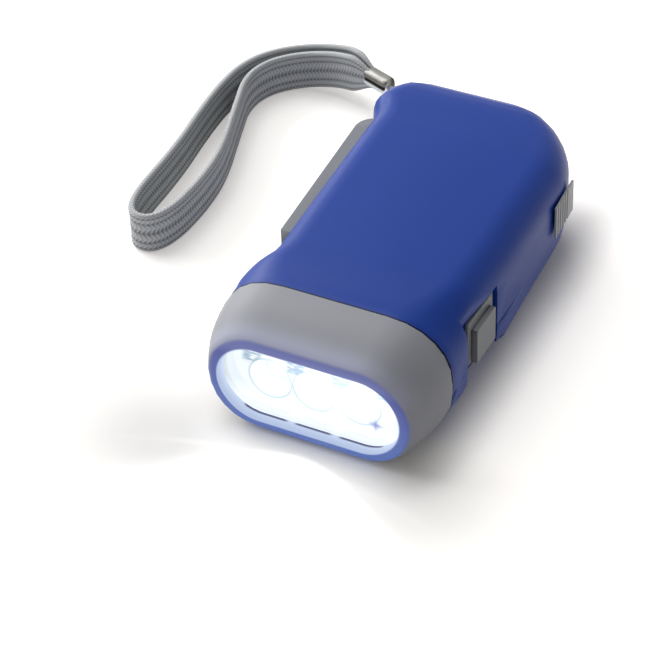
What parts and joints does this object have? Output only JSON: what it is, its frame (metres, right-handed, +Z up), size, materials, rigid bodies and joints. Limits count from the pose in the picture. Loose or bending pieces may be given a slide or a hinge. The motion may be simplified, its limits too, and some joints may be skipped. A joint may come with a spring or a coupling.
{
  "type": "hand crank flashlight",
  "caption": "Palm-sized squeeze-lever dynamo torch with a grey oval head, blue body, side lever, slide switch, lever lock and a braided wrist strap.",
  "frame": {"origin": "middle of the torch's length and of its head's width, on the plane it rests on", "axes": "X to the switch side, Y to the tail, Z up; the lens faces -Y"},
  "size_m": [0.1063, 0.1291, 0.0295],
  "materials": {
    "blue_plastic": "fine satin",
    "grey_plastic": "fine satin",
    "dark_grey_plastic": "fine satin",
    "clear_plastic": "clear and polished",
    "mirror_plastic": "metallised",
    "lamp_epoxy": "clear resin",
    "board": "solder mask",
    "nylon": "natural",
    "steel": "plain",
    "magnet": "sintered",
    "copper": "enamelled copper wire",
    "black_plastic": "plain",
    "bright_metal": "nickel plated",
    "braid": "braided ribs along its length"
  },
  "bodies": {
    "case": {"top_shell": "blue_plastic", "bottom_shell": "blue_plastic", "head_shell": "grey_plastic", "lens": "clear_plastic", "reflector": "mirror_plastic", "led_left": "lamp_epoxy", "led_middle": "lamp_epoxy", "led_right": "lamp_epoxy", "led_board": "board", "lever_pin": "steel", "return_spring": "steel", "first_axle": "steel", "second_axle": "steel", "stator_upper": "steel", "stator_lower": "steel", "coil_bobbin": "nylon", "coil_winding": "copper", "gear_plate": "steel", "plate_screws": "steel", "charge_board": "board", "diodes": "black_plastic", "board_screws": "steel", "cell": "steel", "cell_tabs": "bright_metal", "switch_body": "black_plastic", "case_screws": "steel", "strap_string": "braid", "strap_crimp": "bright_metal", "wrist_strap": "braid"},
    "lever": {"squeeze_lever": "grey_plastic"},
    "first_wheel": {"first_gear": "nylon"},
    "second_wheel": {"second_gear": "nylon"},
    "rotor": {"rotor_hub": "nylon", "rotor_magnet": "magnet", "rotor_shaft": "steel"},
    "switch": {"switch_knob": "dark_grey_plastic"},
    "lock": {"lock_slider": "dark_grey_plastic"}
  },
  "joints": [
    {"name": "lever_hinge", "type": "hinge", "parent": "case", "child": "lever", "pos_m": [-0.02, -0.018, 0.0145], "axis": [0, 0, 1], "range_deg": [0, 18], "stiffness_Nm_per_rad": 0.8, "springref_deg": 18, "deforming": ["return_spring"]},
    {"name": "first_spin", "type": "hinge", "parent": "case", "child": "first_wheel", "pos_m": [-0.0014, 0.02188, 0.014], "axis": [0, 0, 1], "range_deg": [-0.5, 151]},
    {"name": "second_spin", "type": "hinge", "parent": "case", "child": "second_wheel", "pos_m": [0.00659, 0.00442, 0.019], "axis": [0, 0, 1], "range_deg": [-451, 1]},
    {"name": "rotor_spin", "type": "hinge", "parent": "case", "child": "rotor", "pos_m": [-0.00541, -0.00554, 0.012], "axis": [0, 0, 1], "range_deg": [-2, 1502]},
    {"name": "switch_slide", "type": "slide", "parent": "case", "child": "switch", "axis": [0, -1, 0], "range_m": [0, 0.0025]},
    {"name": "lock_slide", "type": "slide", "parent": "case", "child": "lock", "axis": [0.0698, -0.9976, 0], "range_m": [0, 0.004]}
  ],
  "couplings": [
    {"joint": "first_spin", "follows": "lever_hinge", "ratio": 8.3333},
    {"joint": "second_spin", "follows": "lever_hinge", "ratio": -25},
    {"joint": "rotor_spin", "follows": "lever_hinge", "ratio": 83.333}
  ]
}
